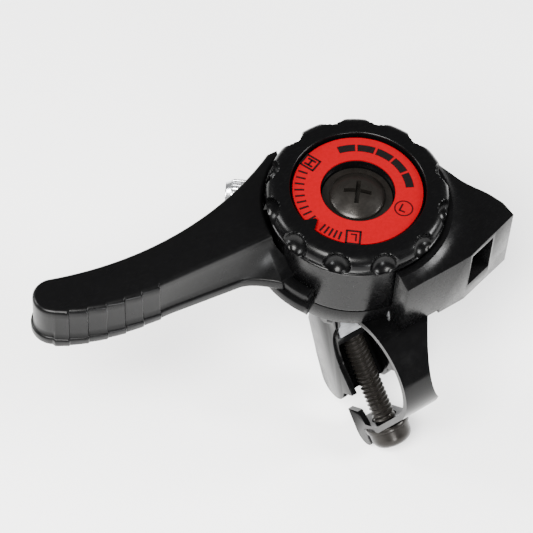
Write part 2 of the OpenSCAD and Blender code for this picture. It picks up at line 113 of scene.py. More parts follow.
def makeStudio():
    low = cadLow.z - studio["floorDrop"] * mm
    mesh = bpy.data.meshes.new("floor")
    half = studio["floorHalf"]
    corners = ((-1, -1), (1, -1), (1, 1), (-1, 1))
    mesh.from_pydata([(x * half, y * half, low) for x, y in corners], [], [(0, 1, 2, 3)])
    floor = bpy.data.objects.new("floor", mesh)
    bpy.context.scene.collection.objects.link(floor)
    material = bpy.data.materials.new("floorPaper")
    material.use_nodes = True
    shader = material.node_tree.nodes["Principled BSDF"]
    shader.inputs["Base Color"].default_value = studio["floorColor"]
    shader.inputs["Roughness"].default_value = 0.9
    shader.inputs["Specular IOR Level"].default_value = 0.1
    mesh.materials.append(material)
    world = bpy.data.worlds.new("studioSky")
    world.use_nodes = True
    world.node_tree.nodes["Background"].inputs["Color"].default_value = (1.0, 1.0, 1.0, 1.0)
    world.node_tree.nodes["Background"].inputs["Strength"].default_value = studio["skyStrength"]
    bpy.context.scene.world = world
    for name, place, size, power, color in studio["lights"]:
        data = bpy.data.lights.new(name, "AREA")
        data.shape = "DISK"
        data.size = size
        data.energy = power
        data.color = color
        light = bpy.data.objects.new(name, data)
        bpy.context.scene.collection.objects.link(light)
        light.location = place
        aim = Vector(studio["aim"]) - Vector(place)
        light.rotation_euler = aim.to_track_quat("-Z", "Y").to_euler()


makeCamera()
makeStudio()
print("camera, floor and lights made")


def newMaterial(name, color, roughness, metallic=0.0, specular=0.5):
    material = bpy.data.materials.new(name)
    material.use_nodes = True
    tree = material.node_tree
    shader = tree.nodes["Principled BSDF"]
    shader.inputs["Base Color"].default_value = (*color, 1.0)
    shader.inputs["Roughness"].default_value = roughness
    shader.inputs["Metallic"].default_value = metallic
    shader.inputs["Specular IOR Level"].default_value = specular
    return material, tree, shader


def addNode(tree, kind, **values):
    node = tree.nodes.new(kind)
    for key, value in values.items():
        setattr(node, key, value)
    return node


def objectNoise(tree, scale, detail=3.0, stretch=(1.0, 1.0, 1.0), turn=(0.0, 0.0, 0.0)):
    coords = addNode(tree, "ShaderNodeTexCoord")
    mapping = addNode(tree, "ShaderNodeMapping")
    mapping.inputs["Scale"].default_value = stretch
    mapping.inputs["Rotation"].default_value = turn
    tree.links.new(coords.outputs["Object"], mapping.inputs["Vector"])
    noise = addNode(tree, "ShaderNodeTexNoise")
    noise.inputs["Scale"].default_value = scale
    noise.inputs["Detail"].default_value = detail
    tree.links.new(mapping.outputs["Vector"], noise.inputs["Vector"])
    return noise.outputs["Fac"]


def ramp(tree, value, stops):
    node = addNode(tree, "ShaderNodeValToRGB")
    elements = node.color_ramp.elements
    while len(elements) < len(stops):
        elements.new(0.5)
    for element, (place, shade) in zip(elements, stops):
        element.position = place
        element.color = (*shade, 1.0) if isinstance(shade, tuple) else (shade, shade, shade, 1.0)
    tree.links.new(value, node.inputs["Fac"])
    return node.outputs["Color"]


def addBump(tree, shader, value, distance):
    bump = addNode(tree, "ShaderNodeBump")
    bump.inputs["Strength"].default_value = 1.0
    bump.inputs["Distance"].default_value = distance
    tree.links.new(value, bump.inputs["Height"])
    tree.links.new(bump.outputs["Normal"], shader.inputs["Normal"])


def plasticMaterial(name, color, rough, grain, grainDepth, scratchDepth, specular=0.10):
    # moulded black plastic: fine grain, faint handling scratches and uneven gloss
    material, tree, shader = newMaterial(name, color, rough[0], specular=specular)
    cloud = objectNoise(tree, 620.0, 4.0)
    scratches = objectNoise(tree, 900.0, 2.0, stretch=(1.0, 9.0, 1.0), turn=(0.2, 0.1, 0.6))
    gloss = ramp(tree, cloud, [(0.3, rough[0]), (0.75, rough[1])])
    tree.links.new(gloss, shader.inputs["Roughness"])
    tint = ramp(tree, scratches, [(0.55, tuple(color)), (0.72, tuple(c * 1.6 + 0.0004 for c in color))])
    tree.links.new(tint, shader.inputs["Base Color"])
    fine = objectNoise(tree, grain, 2.0)
    mix = addNode(tree, "ShaderNodeMath", operation="MULTIPLY_ADD")
    tree.links.new(scratches, mix.inputs[0])
    mix.inputs[1].default_value = scratchDepth
    tree.links.new(fine, mix.inputs[2])
    addBump(tree, shader, mix.outputs[0], grainDepth * mm)
    return material


def metalMaterial(name, color, rough, metallic, brush, depth, specular=0.5):
    # plated or painted metal with brush or handling marks along one direction
    material, tree, shader = newMaterial(name, color, rough[0], metallic=metallic, specular=specular)
    marks = objectNoise(tree, brush, 3.0, stretch=(1.0, 1.0, 7.0))
    spots = objectNoise(tree, 420.0, 4.0)
    gloss = ramp(tree, spots, [(0.35, rough[0]), (0.7, rough[1])])
    tree.links.new(gloss, shader.inputs["Roughness"])
    dull, bright = tuple(c * 0.85 for c in color), tuple(min(1.0, c * 1.12) for c in color)
    shade = ramp(tree, marks, [(0.35, dull), (0.7, bright)])
    tree.links.new(shade, shader.inputs["Base Color"])
    addBump(tree, shader, marks, depth * mm)
    return material


def labelMaterial():
    # printed red film, with a slight unevenness of the ink
    material, tree, shader = newMaterial("redFilm", (0.13, 0.0, 0.0), 0.42, specular=0.04)
    ink = objectNoise(tree, 1500.0, 3.0)
    tint = ramp(tree, ink, [(0.3, (0.17, 0.0, 0.0025)), (0.75, (0.19, 0.0, 0.0035))])
    tree.links.new(tint, shader.inputs["Base Color"])
    film = objectNoise(tree, 150.0, 2.0)
    addBump(tree, shader, film, 0.02 * mm)
    return material


materials = {
    "blackPlastic": plasticMaterial("blackPlastic", (0.0014, 0.0014, 0.0015),
                                    (0.27, 0.34), 5200.0, 0.006, 0.25),
    "knobPlastic": plasticMaterial("knobPlastic", (0.0012, 0.0012, 0.0013), (0.20, 0.32), 6000.0, 0.004, 0.2),
    "basePlastic": plasticMaterial("basePlastic", (0.0015, 0.0015, 0.0016), (0.20, 0.34), 4200.0, 0.006, 0.3),
    "blackSteel": metalMaterial("blackSteel", (0.0014, 0.0014, 0.0015),
                                (0.12, 0.24), 0.0, 500.0, 0.004, 0.14),
    "blackScrew": metalMaterial("blackScrew", (0.014, 0.0125, 0.011), (0.26, 0.4), 0.6, 900.0, 0.005, 0.3),
    "zincSteel": metalMaterial("zincSteel", (0.52, 0.53, 0.55), (0.28, 0.42), 1.0, 900.0, 0.004),
    "castZinc": metalMaterial("castZinc", (0.42, 0.43, 0.45), (0.42, 0.55), 1.0, 1200.0, 0.01),
    "brightAlloy": metalMaterial("brightAlloy", (0.72, 0.73, 0.75), (0.2, 0.32), 1.0, 1500.0, 0.003),
    "nylon": plasticMaterial("nylon", (0.74, 0.72, 0.64), (0.42, 0.55), 3000.0, 0.006, 0.2),
    "redFilm": labelMaterial(),
    "blackInk": plasticMaterial("blackInk", (0.004, 0.003, 0.003), (0.3, 0.36), 6000.0, 0.002, 0.1),
}

nodeMaterials = {
    "base_body": "basePlastic", "clamp_band": "blackSteel", "clamp_jaw": "blackSteel",
    "clamp_nut": "zincSteel",
    "clamp_screw": "blackScrew", "screw_washer": "blackScrew", "band_rivets": "zincSteel",
    "jaw_rivet": "blackSteel", "hub_nut": "zincSteel", "hub_screw": "blackScrew", "hub_washer": "blackScrew",
    "pivot_sleeve": "zincSteel", "lower_washer": "nylon", "cable_drum": "castZinc", "lever": "blackPlastic",
    "knob_cap": "knobPlastic", "upper_washer": "nylon", "pressure_plate": "zincSteel",
    "cone_spring": "zincSteel", "dial_plate": "knobPlastic", "dial_label": "redFilm",
    "barrel_adjuster": "brightAlloy",
}
for nodeName, materialName in nodeMaterials.items():
    slots = nodes[nodeName].data.materials
    slots.clear()
    slots.append(materials[materialName])
print("materials made:", len(materials))


def finishPiece(name, bm, material, smoothAngle=35.0):
    bmesh.ops.remove_doubles(bm, verts=bm.verts, dist=1e-7)
    bmesh.ops.recalc_face_normals(bm, faces=bm.faces)
    mesh = bpy.data.meshes.new(name)
    bm.to_mesh(mesh)
    bm.free()
    mesh.materials.append(materials[material])
    piece = bpy.data.objects.new(name, mesh)
    bpy.context.scene.collection.objects.link(piece)
    smoothEdges(piece, smoothAngle)
    return piece


def smoothEdges(piece, angle):
    mesh = piece.data
    mesh.polygons.foreach_set("use_smooth", [True] * len(mesh.polygons))
    bm = bmesh.new()
    bm.from_mesh(mesh)
    limit = math.radians(angle)
    for edge in bm.edges:
        edge.smooth = len(edge.link_faces) == 2 and edge.calc_face_angle(3.0) < limit
    bm.to_mesh(mesh)
    bm.free()


def applyModifiers(piece):
    bpy.context.view_layer.update()
    depsgraph = bpy.context.evaluated_depsgraph_get()
    result = bpy.data.meshes.new_from_object(piece.evaluated_get(depsgraph))
    piece.modifiers.clear()
    piece.data = result
    return piece


def stackLoops(bm, loops):
    # joins closed loops of points, in mm, into a solid with flat ends
    rings = [[bm.verts.new(Vector(p) * mm) for p in loop] for loop in loops]
    count = len(rings[0])
    for below, above in zip(rings, rings[1:]):
        for i in range(count):
            k = (i + 1) % count
            bm.faces.new((below[i], below[k], above[k], above[i]))
    bm.faces.new(list(reversed(rings[0])))
    bm.faces.new(rings[-1])


def makeBlock(bm, x0, x1, y0, y1, z0, z1):
    stackLoops(bm, [[(x0, y0, z), (x1, y0, z), (x1, y1, z), (x0, y1, z)] for z in (z0, z1)])


def outlineNormals(points):
    result = []
    count = len(points)
    for i in range(count):
        a, b = points[i - 1], points[(i + 1) % count]
        dx, dy = b[0] - a[0], b[1] - a[1]
        size = math.hypot(dx, dy) or 1.0
        result.append((dy / size, -dx / size))
    return result


def layeredLoops(outline, layers):
    # the same outline at each (height, outward step)
    normals = outlineNormals(outline)
    return [[(x + nx * out, y + ny * out, z) for (x, y), (nx, ny) in zip(outline, normals)]
            for z, out in layers]


def lathe(bm, profile, steps=128, shape=None):
    # turns a closed profile of (radius, height) round the Z axis; shape moves each point
    columns = []
    for i in range(steps):
        a = 2 * math.pi * i / steps
        column = []
        for r, z in profile:
            p = Vector((r * math.cos(a), r * math.sin(a), z))
            column.append(bm.verts.new((shape(p) if shape else p) * mm))
        columns.append(column)
    count = len(profile)
    for i in range(steps):
        near, far = columns[i], columns[(i + 1) % steps]
        for k in range(count):
            m = (k + 1) % count
            if profile[k][0] or profile[m][0]:
                bm.faces.new((near[k], far[k], far[m], near[m]))


def roundCorner(a, corner, b, radius, steps=4):
    # points that round the corner between two straight stretches of a profile
    corner = Vector(corner)
    toA, toB = (Vector(a) - corner).normalized(), (Vector(b) - corner).normalized()
    start, end = corner + toA * radius, corner + toB * radius
    return [tuple((1 - t) ** 2 * start + 2 * t * (1 - t) * corner + t * t * end)
            for t in [i / steps for i in range(steps + 1)]]


def roundedProfile(points):
    # points are (radius, height, corner radius)
    result = []
    count = len(points)
    for i, (r, z, corner) in enumerate(points):
        if corner:
            result += roundCorner(points[i - 1][:2], (r, z), points[(i + 1) % count][:2], corner)
        else:
            result.append((r, z))
    return result


def atHead(bm):
    bmesh.ops.translate(bm, verts=bm.verts, vec=Vector((headX, headY, 0)) * mm)


def turnLever(bm, angle):
    bmesh.ops.rotate(bm, verts=bm.verts, cent=(0, 0, 0), matrix=Matrix.Rotation(math.radians(angle), 3, "Z"))


def roundedCopy(nodeName, pieceName, width, angle=32.0, segments=2):
    # a merged copy of a CAD node with its sharp edges rounded over
    source = nodes[nodeName]
    bm = bmesh.new()
    bm.from_mesh(source.data)
    bmesh.ops.remove_doubles(bm, verts=bm.verts, dist=2e-6)
    bmesh.ops.dissolve_limit(bm, angle_limit=math.radians(0.6), verts=bm.verts, edges=bm.edges)
    mesh = bpy.data.meshes.new(pieceName)
    bm.to_mesh(mesh)
    bm.free()
    mesh.materials.append(materials[nodeMaterials[nodeName]])
    piece = bpy.data.objects.new(pieceName, mesh)
    bpy.context.scene.collection.objects.link(piece)
    bevel = piece.modifiers.new("edges", "BEVEL")
    bevel.width = width * mm
    bevel.segments = segments
    bevel.limit_method = "ANGLE"
    bevel.angle_limit = math.radians(angle)
    applyModifiers(piece)
    smoothEdges(piece, 28.0)
    return piece


def cutWith(piece, cutter):
    boolean = piece.modifiers.new("cut", "BOOLEAN")
    boolean.operation = "DIFFERENCE"
    boolean.solver = "EXACT"
    boolean.object = cutter
    applyModifiers(piece)
    mesh = cutter.data
    bpy.data.objects.remove(cutter)
    bpy.data.meshes.remove(mesh)


def settle(piece, body, slotName, *replaced):
    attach(piece, body)
    if replaced:
        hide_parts(*replaced)


leverPlan = {
    "rootR": 19.3, "tipX": 65.95, "tipR": 4.25, "tipY": 3.35,
    "top": 30.0, "lipTop": 21.2, "bottom": 18.7,
    "edgeRound": 0.9, "lipRound": 0.55, "lipOut": 0.55,
    "ribs": 6, "ribLength": 23.0, "ribDepth": 0.62,
    "riderRoot": (19.45, 3.1),
    "riderPath": ((43.95, 7.4), (51.0, 8.65), (58.0, 9.75), (67.0, 7.55)),
    "forwardPath": ((66.0, -0.9), (42.0, 1.5), (24.0, -8.0), (13.6, -16.9)),
    "rootEnd": -56.0, "rootCorner": (11.3, -17.3),
    "heels": [  # inner and outer radius, foot, top, first and last angle
        (18.3, 21.9, 16.35, 18.75, 4.0, 44.5),
        (18.3, 20.8, 18.2, 21.1, 4.0, 43.0),
    ],
    "neck": (10.5, 20.6, -8.8, 3.8, 17.15, 21.85),  # spans in x, y and z
    "dogSize": (3.0, 4.0, 1.6), "dogPlace": (9.1, 0, 15.5),
}


def cubic(a, b, c, d, t):
    s = 1 - t
    return tuple(s ** 3 * p + 3 * s * s * t * q + 3 * s * t * t * u + t ** 3 * v
                 for p, q, u, v in zip(a, b, c, d))


def riderEdge(steps):
    # thumb side of the arm's top, from the root to the tip
    (x0, y0), (x1, y1) = leverPlan["riderRoot"], leverPlan["riderPath"][0]
    straight = [(x0 + (x1 - x0) * i / 40, y0 + (y1 - y0) * i / 40) for i in range(41)]
    bend = [cubic(*leverPlan["riderPath"], (i + 1) / steps) for i in range(steps)]
    return straight + bend


def forwardEdge(steps):
    return [cubic(*leverPlan["forwardPath"], i / steps) for i in range(steps + 1)]


def leverOutline():
    # top outline, anticlockwise seen from above, with a mark that says where each point lies
    plan = leverPlan
    points = []
    rider = riderEdge(150)
    forward = forwardEdge(60)
    for x, y in reversed(forward):
        points.append((x, y, "forward"))
    for i in range(1, 24):
        a = math.radians(-90 + 166 * i / 24)
        points.append((plan["tipX"] + plan["tipR"] * math.cos(a),
                       plan["tipY"] + plan["tipR"] * math.sin(a), "tip"))
    for x, y in reversed(rider):
        points.append((x, y, "rider"))
    start = math.atan2(rider[0][1], rider[0][0])
    end = math.radians(plan["rootEnd"])
    for i in range(1, 26):
        a = start + (end - start) * i / 26
        points.append((plan["rootR"] * math.cos(a), plan["rootR"] * math.sin(a), "root"))
    points.append((*plan["rootCorner"], "root"))
    return points


def ribRise(x):
    # a row of shallow ramps, each ending in a step towards the root
    plan = leverPlan
    start = plan["tipX"] + 2.0 - plan["ribLength"]
    place = (x - start) / (plan["ribLength"] / plan["ribs"])
    if place < 0 or place >= plan["ribs"]:
        return 0.0
    share = place - math.floor(place)
    rise = min(1.0, share / 0.08)
    fade = 1.0 if place < plan["ribs"] - 1 else 1 - (place - plan["ribs"] + 1)
    return plan["ribDepth"] * rise * (1 - 0.75 * share) * fade


def wallFlare(x, mark):
    # how far the foot of the thumb-side wall stands out from its top
    if mark != "rider":
        return 0.25 if mark == "forward" else 0.0
    near = max(0.0, min(1.0, (43.0 - x) / 20.0))
    return 0.35 + 1.2 * near + 4.6 * max(0.0, min(1.0, (27.5 - x) / 8.0)) ** 1.7


def makeLeverArm(bm):
    plan = leverPlan
    outline = leverOutline()
    normals = outlineNormals([(x, y) for x, y, mark in outline])

    def ring(z, out, flare, ribs, lip=0.0):
        # the outline at one height, moved outwards by its edge, flare, ribs and lip
        loop = []
        for (x, y, mark), (nx, ny) in zip(outline, normals):
            grow = min(out, 0.0)
            if mark != "root":
                grow = out + wallFlare(x, mark) * flare + lip
            if mark == "rider":
                grow += ribRise(x) * ribs
            loop.append((x + nx * grow, y + ny * grow, z))
        return loop

    edge, lipEdge, lip = plan["edgeRound"], plan["lipRound"], plan["lipOut"]
    foot = plan["lipTop"] + 0.3
    loops = []
    for i in range(5):  # rounded foot of the lip
        c, d = 1 - math.cos(math.radians(90 * i / 4)), 1 - math.sin(math.radians(90 * i / 4))
        loops.append(ring(plan["bottom"] + lipEdge * c, -lipEdge * d, 1.05, 0.5, lip))
    for i in range(5):  # rounded top of the lip
        c, d = 1 - math.cos(math.radians(90 * i / 4)), 1 - math.sin(math.radians(90 * i / 4))
        loops.append(ring(plan["lipTop"] - lipEdge * d, -lipEdge * c, 1.0, 0.8, lip))
    loops.append(ring(plan["lipTop"] + 0.04, 0.12, 1.0, 1.0))
    loops.append(ring(foot, 0.0, 0.97, 1.0))
    rows = 6
    for i in range(1, rows + 1):  # the wall, which loses its flare towards the top
        t = i / rows
        loops.append(ring(foot + (plan["top"] - edge - foot) * t, 0.0, (1 - t) ** 1.6 * 0.97, 1.0))
    for i in range(1, 6):  # rounded top edge
        c, d = 1 - math.cos(math.radians(90 * i / 5)), 1 - math.sin(math.radians(90 * i / 5))
        loops.append(ring(plan["top"] - edge * d, -edge * c, 0.0, 1.0 - 0.5 * i / 5))
    stackLoops(bm, loops)


def makeHeel(bm, inner, outer, low, high, startAngle, endAngle, edge=0.3):
    # a stretch of ring that trails round the skirt below the arm
    steps = 24
    outline = []
    for i in range(steps + 1):
        a = math.radians(startAngle + (endAngle - startAngle) * i / steps)
        outline.append((outer * math.cos(a), outer * math.sin(a)))
    for i in range(steps + 1):
        a = math.radians(endAngle - (endAngle - startAngle) * i / steps)
        outline.append((inner * math.cos(a), inner * math.sin(a)))
    stackLoops(bm, layeredLoops(outline, (
        (low, -edge), (low + edge, 0.0), (high - edge, 0.0),
        (high - 0.3 * edge, -0.3 * edge), (high, -edge))))


hub = {"bore": 6.05, "disc": 16.4, "discLow": 15.9, "discTop": 19.9, "boss": 11.5, "bossTop": 23.4}


def makeHub(bm):
    lathe(bm, roundedProfile([
        (hub["bore"], hub["discLow"], 0.2), (hub["disc"], hub["discLow"], 0.3),
        (hub["disc"], hub["discTop"], 0.3),
        (hub["boss"], hub["discTop"], 0.4), (hub["boss"], hub["bossTop"], 0.3),
        (hub["bore"], hub["bossTop"], 0.2),
    ]), 96)


def makeLever():
    bm = bmesh.new()
    makeLeverArm(bm)
    for heel in leverPlan["heels"]:
        makeHeel(bm, *heel)
    makeBlock(bm, *leverPlan["neck"])
    makeHub(bm)
    for side in (90, 270):
        dog = bmesh.ops.create_cube(bm, size=1.0)["verts"]
        bmesh.ops.scale(bm, verts=dog, vec=Vector(leverPlan["dogSize"]) * mm)
        bmesh.ops.translate(bm, verts=dog, vec=Vector(leverPlan["dogPlace"]) * mm)
        bmesh.ops.rotate(bm, verts=dog, cent=(0, 0, 0), matrix=Matrix.Rotation(math.radians(side), 3, "Z"))
    turnLever(bm, leverAz)
    atHead(bm)
    piece = finishPiece("leverMoulding", bm, "blackPlastic", 30.0)
    settle(piece, "lever_set", "black_plastic", "lever")


makeLever()
print("lever made")


knob = {
    "window": 14.0, "top": 34.5, "rim": 18.9, "rimLow": 29.1, "skirt": 18.0, "skirtLow": 15.78,
    "wallLow": 16.5, "seat": 19.9, "wallHigh": 15.75, "ceiling": 31.9,
    "dents": 12, "dentR": 3.2, "dentOut": 19.5, "dentDrop": 1.9, "dentTilt": 38.0, "dentLip": 0.35,
    "dentTurn": 26.5, "shoulder": 2.6, "notch": (12, 22, -9.2, 4.2, 14.0, 22.1),
}


def pressDents(p):
    # ball dents round the rim: points inside a ball slide inwards and down to its far side
    tilt = math.radians(knob["dentTilt"])
    for i in range(knob["dents"]):
        a = math.radians(leverAz + knob["dentTurn"] + 360.0 * i / knob["dents"])
        centre = Vector((knob["dentOut"] * math.cos(a), knob["dentOut"] * math.sin(a),
                         knob["top"] - knob["dentDrop"]))
        away = p - centre
        room = knob["dentR"] - away.length
        if room > 0:
            slide = Vector((-math.cos(a) * math.cos(tilt), -math.sin(a) * math.cos(tilt), -math.sin(tilt)))
            along = away.dot(slide)
            travel = math.sqrt(along * along + knob["dentR"] ** 2 - away.length_squared) - along
            soft = min(1.0, room / knob["dentLip"])
            p = p + slide * travel * soft * soft * (3 - 2 * soft)
    return p


def denseProfile(points, step=0.35):
    result = []
    count = len(points)
    for i in range(count):
        a, b = Vector(points[i]), Vector(points[(i + 1) % count])
        parts = max(1, int((b - a).length / step)) if a.x > 17.0 and b.x > 17.0 and max(a.y, b.y) > 28 else 1
        for k in range(parts):
            result.append(tuple(a + (b - a) * k / parts))
    return result


def makeKnob():
    bm = bmesh.new()
    shoulder = knob["shoulder"]
    arc = [(knob["rim"] - shoulder + shoulder * math.sin(math.radians(a)),
            knob["top"] - shoulder + shoulder * math.cos(math.radians(a))) for a in range(0, 91, 9)]
    outside = roundCorner((knob["window"], knob["ceiling"]), (knob["window"], knob["top"]),
                          (20, knob["top"]), 0.45)
    lower = roundedProfile([
        (knob["rim"], knob["rimLow"] + 0.9, 0.5), (knob["skirt"], knob["rimLow"], 0.4),
        (knob["skirt"], knob["skirtLow"], 0.25), (knob["wallLow"], knob["skirtLow"], 0.2),
        (knob["wallLow"], knob["seat"], 0), (knob["wallHigh"], knob["seat"], 0),
        (knob["wallHigh"], knob["ceiling"], 0.5), (knob["window"], knob["ceiling"], 0.2)])
    profile = denseProfile(outside + [(15.2, knob["top"]), (16.0, knob["top"])] + arc + lower)
    profile = list(reversed(profile))
    lathe(bm, profile, 480, pressDents)
    atHead(bm)
    piece = finishPiece("knobMoulding", bm, "knobPlastic", 40.0)
    bm = bmesh.new()
    makeBlock(bm, *knob["notch"])
    turnLever(bm, leverAz)
    atHead(bm)
    cutWith(piece, finishPiece("armNotch", bm, "knobPlastic"))
    smoothEdges(piece, 40.0)
    settle(piece, "lever_set", "black_plastic", "knob_cap")
    makePointer()


pointer = {
    "turn": 24.0,
    "outline": [(14.0, -1.35), (12.7, -0.5), (11.95, -0.12), (11.95, 0.12), (12.7, 0.5), (14.0, 1.35),
                (15.0, 1.5), (15.0, -1.5)],
    "layers": [(33.72, -0.05), (34.1, 0.0), (34.3, -0.08), (34.42, -0.25)],  # height, outward step
}


def makePointer():
    # the tooth of the window that points at the dial
    bm = bmesh.new()
    stackLoops(bm, layeredLoops(pointer["outline"], pointer["layers"]))
    turnLever(bm, leverAz + pointer["turn"])
    atHead(bm)
    settle(finishPiece("pointerTooth", bm, "knobPlastic"), "lever_set", "black_plastic")


makeKnob()
print("knob made")


def threadedShank(bm, radius, depth, pitch, low, high, perTurn=28):
    # a helical thread with a runout at each end
    turns = (high - low) / pitch
    steps = int(turns * perTurn)
    sub = ((0.0, 1.0), (0.12, 1.0), (0.5, 0.0), (0.62, 0.0))
    rings = []
    for i in range(steps + perTurn + 1):
        angle = 2 * math.pi * i / perTurn
        base = low - pitch + pitch * i / perTurn
        column = []
        for share, crest in sub:
            z = min(high, max(low, base + share * pitch))
            edge = min(1.0, (z - low) / pitch, (high - z) / pitch)
            r = radius - depth + depth * crest * max(0.0, edge)
            column.append(bm.verts.new(Vector((r * math.cos(angle), r * math.sin(angle), z)) * mm))
        rings.append(column)
    count = len(rings)
    for i in range(count - 1):
        for k in range(len(sub) - 1):
            bm.faces.new((rings[i][k], rings[i + 1][k], rings[i + 1][k + 1], rings[i][k + 1]))
        m = i + perTurn
        if m + 1 < count:
            bm.faces.new((rings[i][-1], rings[i + 1][-1], rings[m + 1][0], rings[m][0]))


def crossCutter(span, width, top, depth, taper=0.72):
    # the cross recess, narrower at its foot
    bm = bmesh.new()
    loops = []
    for z, grow in ((top - depth, taper), (top + 1.5, 1.12)):
        far, near = span / 2 * grow, width / 2 * (0.85 if grow < 1 else 1.0)
        loop = []
        for turn in range(4):
            for x, y in ((far, -near), (far, near), (near, near)):
                for quarter in range(turn):
                    x, y = -y, x
                loop.append((x, y, z))
        loops.append(loop)
    stackLoops(bm, loops)
    return bm


clampJoint = [j for j in frame["joints"] if j["name"] == "clamp_screw_turn"][0]
clampScrew = {
    "radius": 2.5, "depth": 0.42, "pitch": 1.0, "collar": 2.6, "headR": 4.5, "headH": 4.0, "collarLen": 2.6,
    "crossSpan": 5.2, "crossWidth": 1.15, "crossDepth": 2.1, "crossTurn": 20.0,
}


def screwSpan():
    # distance of the screw's two ends from its joint's point, along its axis
    axis = Vector(clampJoint["axis"]).normalized()
    origin = Vector(clampJoint["pos_m"])
    places = [(v.co - origin).dot(axis) / mm for v in nodes["clamp_screw"].data.vertices]
    return min(places), max(places)


def makeClampScrew():
    low, high = screwSpan()
    size = clampScrew
    under = low + size["headH"]
    top = low
    bm = bmesh.new()
    r = size["headR"]
    head = [(0.0, under)]
    head += [(size["collar"] - 0.15, under), (size["collar"] - 0.15, under - 0.01),
             (r - 0.2, under - 0.01), (r, under - 0.2)]
    for i in range(9):
        a = math.radians(90 * i / 8)
        head.append((r - 1.9 + 1.9 * math.cos(a), top + 2.2 - 2.2 * math.sin(a)))
    head.append((0.0, top))
    lathe(bm, list(reversed(head)), 64)
    piece = finishPiece("clampScrewHead", bm, "blackScrew", 35.0)
    cutter = crossCutter(size["crossSpan"], size["crossWidth"], 0.0, size["crossDepth"])
    bmesh.ops.rotate(cutter, verts=cutter.verts, cent=(0, 0, 0), matrix=Matrix.Rotation(math.pi, 3, "X"))
    crossTurn = Matrix.Rotation(math.radians(size["crossTurn"]), 3, "Z")
    bmesh.ops.rotate(cutter, verts=cutter.verts, cent=(0, 0, 0), matrix=crossTurn)
    bmesh.ops.translate(cutter, verts=cutter.verts, vec=(0, 0, top * mm))
    cutWith(piece, finishPiece("crossRecess", cutter, "blackScrew"))
    bm = bmesh.new()
    bm.from_mesh(piece.data)
    mesh = piece.data
    bpy.data.objects.remove(piece)
    bpy.data.meshes.remove(mesh)
    neck = under + size["collarLen"]
    lathe(bm, [(0.0, under - 0.05), (size["radius"], under - 0.05), (size["radius"], neck - 0.4),
               (size["radius"] - 0.35, neck),
               (0.0, neck)], 48)
    threadedShank(bm, size["radius"], size["depth"], size["pitch"], neck - 0.6, high - 0.6)
    core = size["radius"] - size["depth"] - 0.01
    lathe(bm, [(0.0, neck - 0.5), (core, neck - 0.5), (core, high - 0.5), (core - 0.5, high),
               (0.0, high)], 48)
    axis = Vector(clampJoint["axis"]).normalized()
    turn = axis.to_track_quat("Z", "Y").to_matrix()
    bmesh.ops.rotate(bm, verts=bm.verts, cent=(0, 0, 0), matrix=turn)
    bmesh.ops.translate(bm, verts=bm.verts, vec=Vector(clampJoint["pos_m"]))
    piece = finishPiece("clampScrewThreaded", bm, "blackScrew", 35.0)
    settle(piece, "clamp_screw", "black_steel", "clamp_screw")


hubHead = {
    "radius": 5.8, "low": 31.2, "rim": 0.55, "dome": 2.3,
    "crossSpan": 6.4, "crossWidth": 1.0, "crossDepth": 2.1, "crossTurn": 49.0,
}


def makeHubScrew():
    size = hubHead
    bm = bmesh.new()
    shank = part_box("hub_screw")[0].z / mm
    profile = [(0.0, shank), (2.3, shank), (2.5, shank + 0.3), (2.5, size["low"]),
               (size["radius"] - 0.15, size["low"]),
               (size["radius"], size["low"] + 0.15), (size["radius"], size["low"] + size["rim"] - 0.12)]
    for i in range(13):
        t = i / 12
        profile.append((max(0.0, (size["radius"] - 0.1) * (1 - t)),
                        size["low"] + size["rim"]
                        + (size["dome"] - size["rim"]) * math.sin(math.radians(90 * t)) ** 0.95))
    lathe(bm, profile, 96)
    piece = finishPiece("hubScrewDomed", bm, "blackScrew", 35.0)
    top = size["low"] + size["dome"]
    cutter = crossCutter(size["crossSpan"], size["crossWidth"], top, size["crossDepth"])
    crossTurn = Matrix.Rotation(math.radians(size["crossTurn"]), 3, "Z")
    bmesh.ops.rotate(cutter, verts=cutter.verts, cent=(0, 0, 0), matrix=crossTurn)
    cutWith(piece, finishPiece("crossRecess", cutter, "blackScrew"))
    piece.data.transform(Matrix.Translation(Vector((headX, headY, 0)) * mm))
    smoothEdges(piece, 35.0)
    settle(piece, "hub_screw", "black_steel", "hub_screw")


makeClampScrew()
makeHubScrew()
print("screws made")


def makeRounded():
    for nodeName, pieceName, width, slotName in (
            ("base_body", "baseMoulding", 0.3, "black_plastic"),
            ("clamp_band", "clampBandPressed", 0.16, "black_steel"),
            ("clamp_jaw", "clampJawPressed", 0.18, "black_steel"),
            ("dial_plate", "dialPlateMoulding", 0.15, "black_plastic"),
            ("screw_washer", "screwWasherTurned", 0.12, "black_steel")):
        piece = roundedCopy(nodeName, pieceName, width)
        settle(piece, "base", slotName, nodeName)
        print("rounded", nodeName, len(piece.data.polygons), "faces")


makeRounded()


dial = {
    "rise": 0.03, "thick": 0.03, "tickIn": 11.0, "tickOut": 13.0, "tickWidth": 0.42,
    "highAz": 111.0, "lowAz": 230.0, "restAz": 189.0, "ticksHigh": 9, "ticksLow": 5,
    "boxR": 11.8, "boxWide": 3.1, "boxTall": 2.8, "boxLine": 0.42,
    "leftAz": -59.0, "leftR": 10.2, "leftRing": 1.95, "leftLine": 0.26,
    "letterHigh": 1.9, "letterLow": 1.8, "letterLeft": 1.9, "gapHigh": 14, "gapLow": 13, "gapRest": (6, 9),
    "arcFrom": 78.0, "arcTo": -30.0, "arcIn": 9.9, "arcOut": 11.6, "arcBlocks": 5,
}


